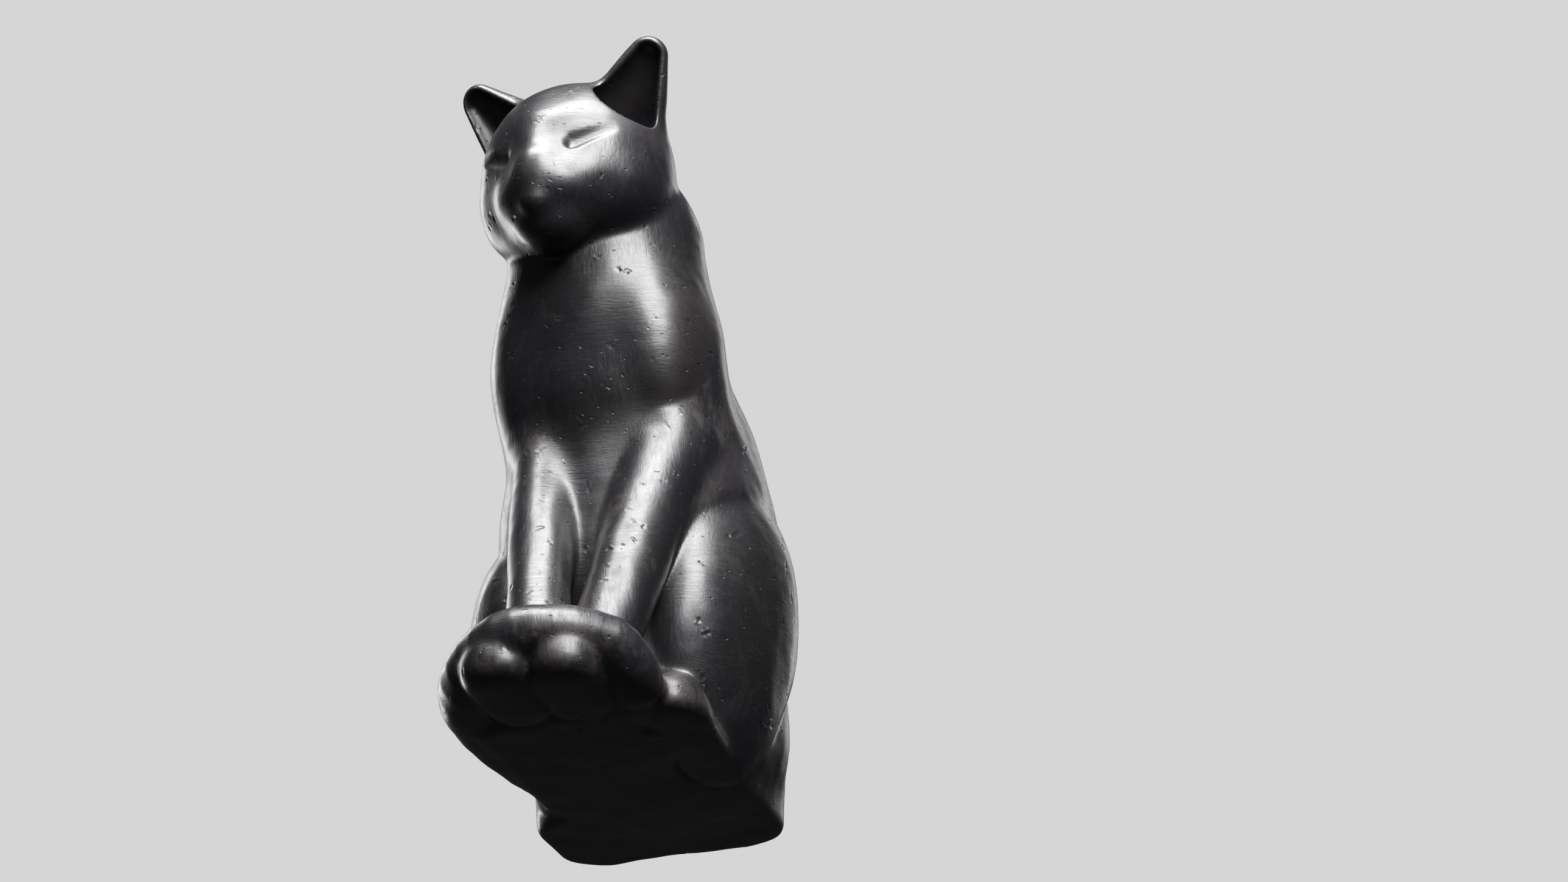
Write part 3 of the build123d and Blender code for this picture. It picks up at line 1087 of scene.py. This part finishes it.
def softbox(name, centre, azimuth, elevation, distance, width, height, power):
    """A studio light turned to the figurine, seen only in its gloss."""
    light = bpy.data.lights.new(name, "AREA")
    light.shape = "RECTANGLE"
    light.size, light.size_y = width, height
    light.energy = power
    lamp = bpy.data.objects.new(name, light)
    a, e = math.radians(azimuth), math.radians(elevation)
    out = Vector((math.sin(a) * math.cos(e), -math.cos(a) * math.cos(e), math.sin(e)))
    lamp.location = centre + out * distance
    lamp.rotation_mode = "QUATERNION"
    lamp.rotation_quaternion = out.to_track_quat("Z", "Y")
    lamp.visible_camera = False
    bpy.context.scene.collection.objects.link(lamp)
    return lamp


def floor_material(colour):
    """Plain pale floor, clear from underneath."""
    material = bpy.data.materials.new("plain_floor")
    material.use_nodes = True
    tree = material.node_tree
    shader = tree.nodes["Principled BSDF"]
    shader.inputs["Base Color"].default_value = (*colour, 1.0)
    shader.inputs["Roughness"].default_value = 0.9
    shader.inputs["Specular IOR Level"].default_value = 0.1
    clear = tree.nodes.new("ShaderNodeBsdfTransparent")
    side = tree.nodes.new("ShaderNodeNewGeometry")
    mix = tree.nodes.new("ShaderNodeMixShader")
    tree.links.new(side.outputs["Backfacing"], mix.inputs[0])
    tree.links.new(shader.outputs[0], mix.inputs[1])
    tree.links.new(clear.outputs[0], mix.inputs[2])
    tree.links.new(mix.outputs[0], tree.nodes["Material Output"].inputs["Surface"])
    return material


def studio_air(scene, colour):
    """Pale surroundings for the camera, dimmer in the gloss."""
    world = bpy.data.worlds.new("studio_air")
    scene.world = world
    world.use_nodes = True
    tree = world.node_tree
    tree.nodes.clear()
    seen, felt = tree.nodes.new("ShaderNodeBackground"), tree.nodes.new("ShaderNodeBackground")
    seen.inputs["Color"].default_value = (*colour, 1.0)
    felt.inputs["Color"].default_value = AIR_COLOUR
    felt.inputs["Strength"].default_value = AIR_STRENGTH
    rays = tree.nodes.new("ShaderNodeLightPath")
    mix = tree.nodes.new("ShaderNodeMixShader")
    tree.links.new(rays.outputs["Is Camera Ray"], mix.inputs[0])
    tree.links.new(felt.outputs[0], mix.inputs[1])
    tree.links.new(seen.outputs[0], mix.inputs[2])
    out = tree.nodes.new("ShaderNodeOutputWorld")
    tree.links.new(mix.outputs[0], out.inputs["Surface"])


def add_floor(scene, colour, height):
    mesh = bpy.data.meshes.new("floor")
    side = FLOOR_REACH
    corners = [(-side, -side, 0), (side, -side, 0), (side, side, 0), (-side, side, 0)]
    mesh.from_pydata(corners, [], [(0, 1, 2, 3)])
    floor = bpy.data.objects.new("floor", mesh)
    floor.location.z = height
    floor.visible_glossy = floor.visible_diffuse = floor.visible_shadow = False
    mesh.materials.append(floor_material(colour))
    scene.collection.objects.link(floor)


def add_camera(scene):
    azimuth, elevation = CAMERA_AZIMUTH, CAMERA_ELEVATION
    out = Vector((math.sin(azimuth) * math.cos(elevation), -math.cos(azimuth) * math.cos(elevation),
                  math.sin(elevation)))
    camera = bpy.data.objects.new("camera", bpy.data.cameras.new("camera"))
    camera.location = CAMERA_AIM + out * CAMERA_DISTANCE
    camera.rotation_euler = CAMERA_TURN
    camera.data.lens, camera.data.sensor_width = CAMERA_LENS, 36
    camera.data.clip_start = 0.01
    scene.collection.objects.link(camera)
    scene.camera = camera


class FIGURINE_OT_stage(bpy.types.Operator):
    """Adds the floor, the studio lights and the camera"""

    bl_idname = "figurine.add_stage"
    bl_label = "Stage"

    def execute(self, context):
        scene, given = context.scene, context.scene.cat_stage
        low, high = (Vector(corner) for corner in CAD_BOX)
        add_floor(scene, given.floor_colour, low.z - FLOOR_DROP)
        studio_air(scene, given.floor_colour)
        powers = given.key, given.top, given.rim, given.back
        for (name, azimuth, elevation, distance, width, height), power in zip(SOFTBOXES, powers):
            softbox(name, (low + high) / 2, azimuth, elevation, distance, width, height, power)
        add_camera(scene)
        scene.view_settings.view_transform = "Standard"
        return {"FINISHED"}


class FIGURINE_PT_panel(bpy.types.Panel):
    """Lists the pieces and the sizes, glaze and lights to change before adding them"""

    bl_idname = "FIGURINE_PT_panel"
    bl_label = "Seated cat figurine"
    bl_space_type = "VIEW_3D"
    bl_region_type = "UI"
    bl_category = "Figurine"

    def draw(self, context):
        for operator in OPERATORS:
            self.layout.operator(operator.bl_idname)
        for title, group in (("Form", context.scene.cat_form), ("Glaze", context.scene.cat_glaze),
                             ("Stage", context.scene.cat_stage)):
            box = self.layout.box()
            box.label(text=title)
            for name in group.__annotations__:
                box.prop(group, name)


OPERATORS = (FIGURINE_OT_base, FIGURINE_OT_body, FIGURINE_OT_head, FIGURINE_OT_ears, FIGURINE_OT_forelegs,
             FIGURINE_OT_forepaws, FIGURINE_OT_haunches, FIGURINE_OT_hind_paw, FIGURINE_OT_tail,
             FIGURINE_OT_stage)
GROUPS = {"cat_form": CatForm, "cat_glaze": CatGlaze, "cat_stage": CatStage}


def register():
    for kind in (*GROUPS.values(), *OPERATORS, FIGURINE_PT_panel):
        bpy.utils.register_class(kind)
    for name, kind in GROUPS.items():
        setattr(bpy.types.Scene, name, PointerProperty(type=kind))


def unregister():
    for name in GROUPS:
        delattr(bpy.types.Scene, name)
    for kind in reversed((*GROUPS.values(), *OPERATORS, FIGURINE_PT_panel)):
        bpy.utils.unregister_class(kind)


def main():
    register()
    for operator in OPERATORS:
        group, action = operator.bl_idname.split(".")
        getattr(getattr(bpy.ops, group), action)()


if __name__ == "__main__":
    main()
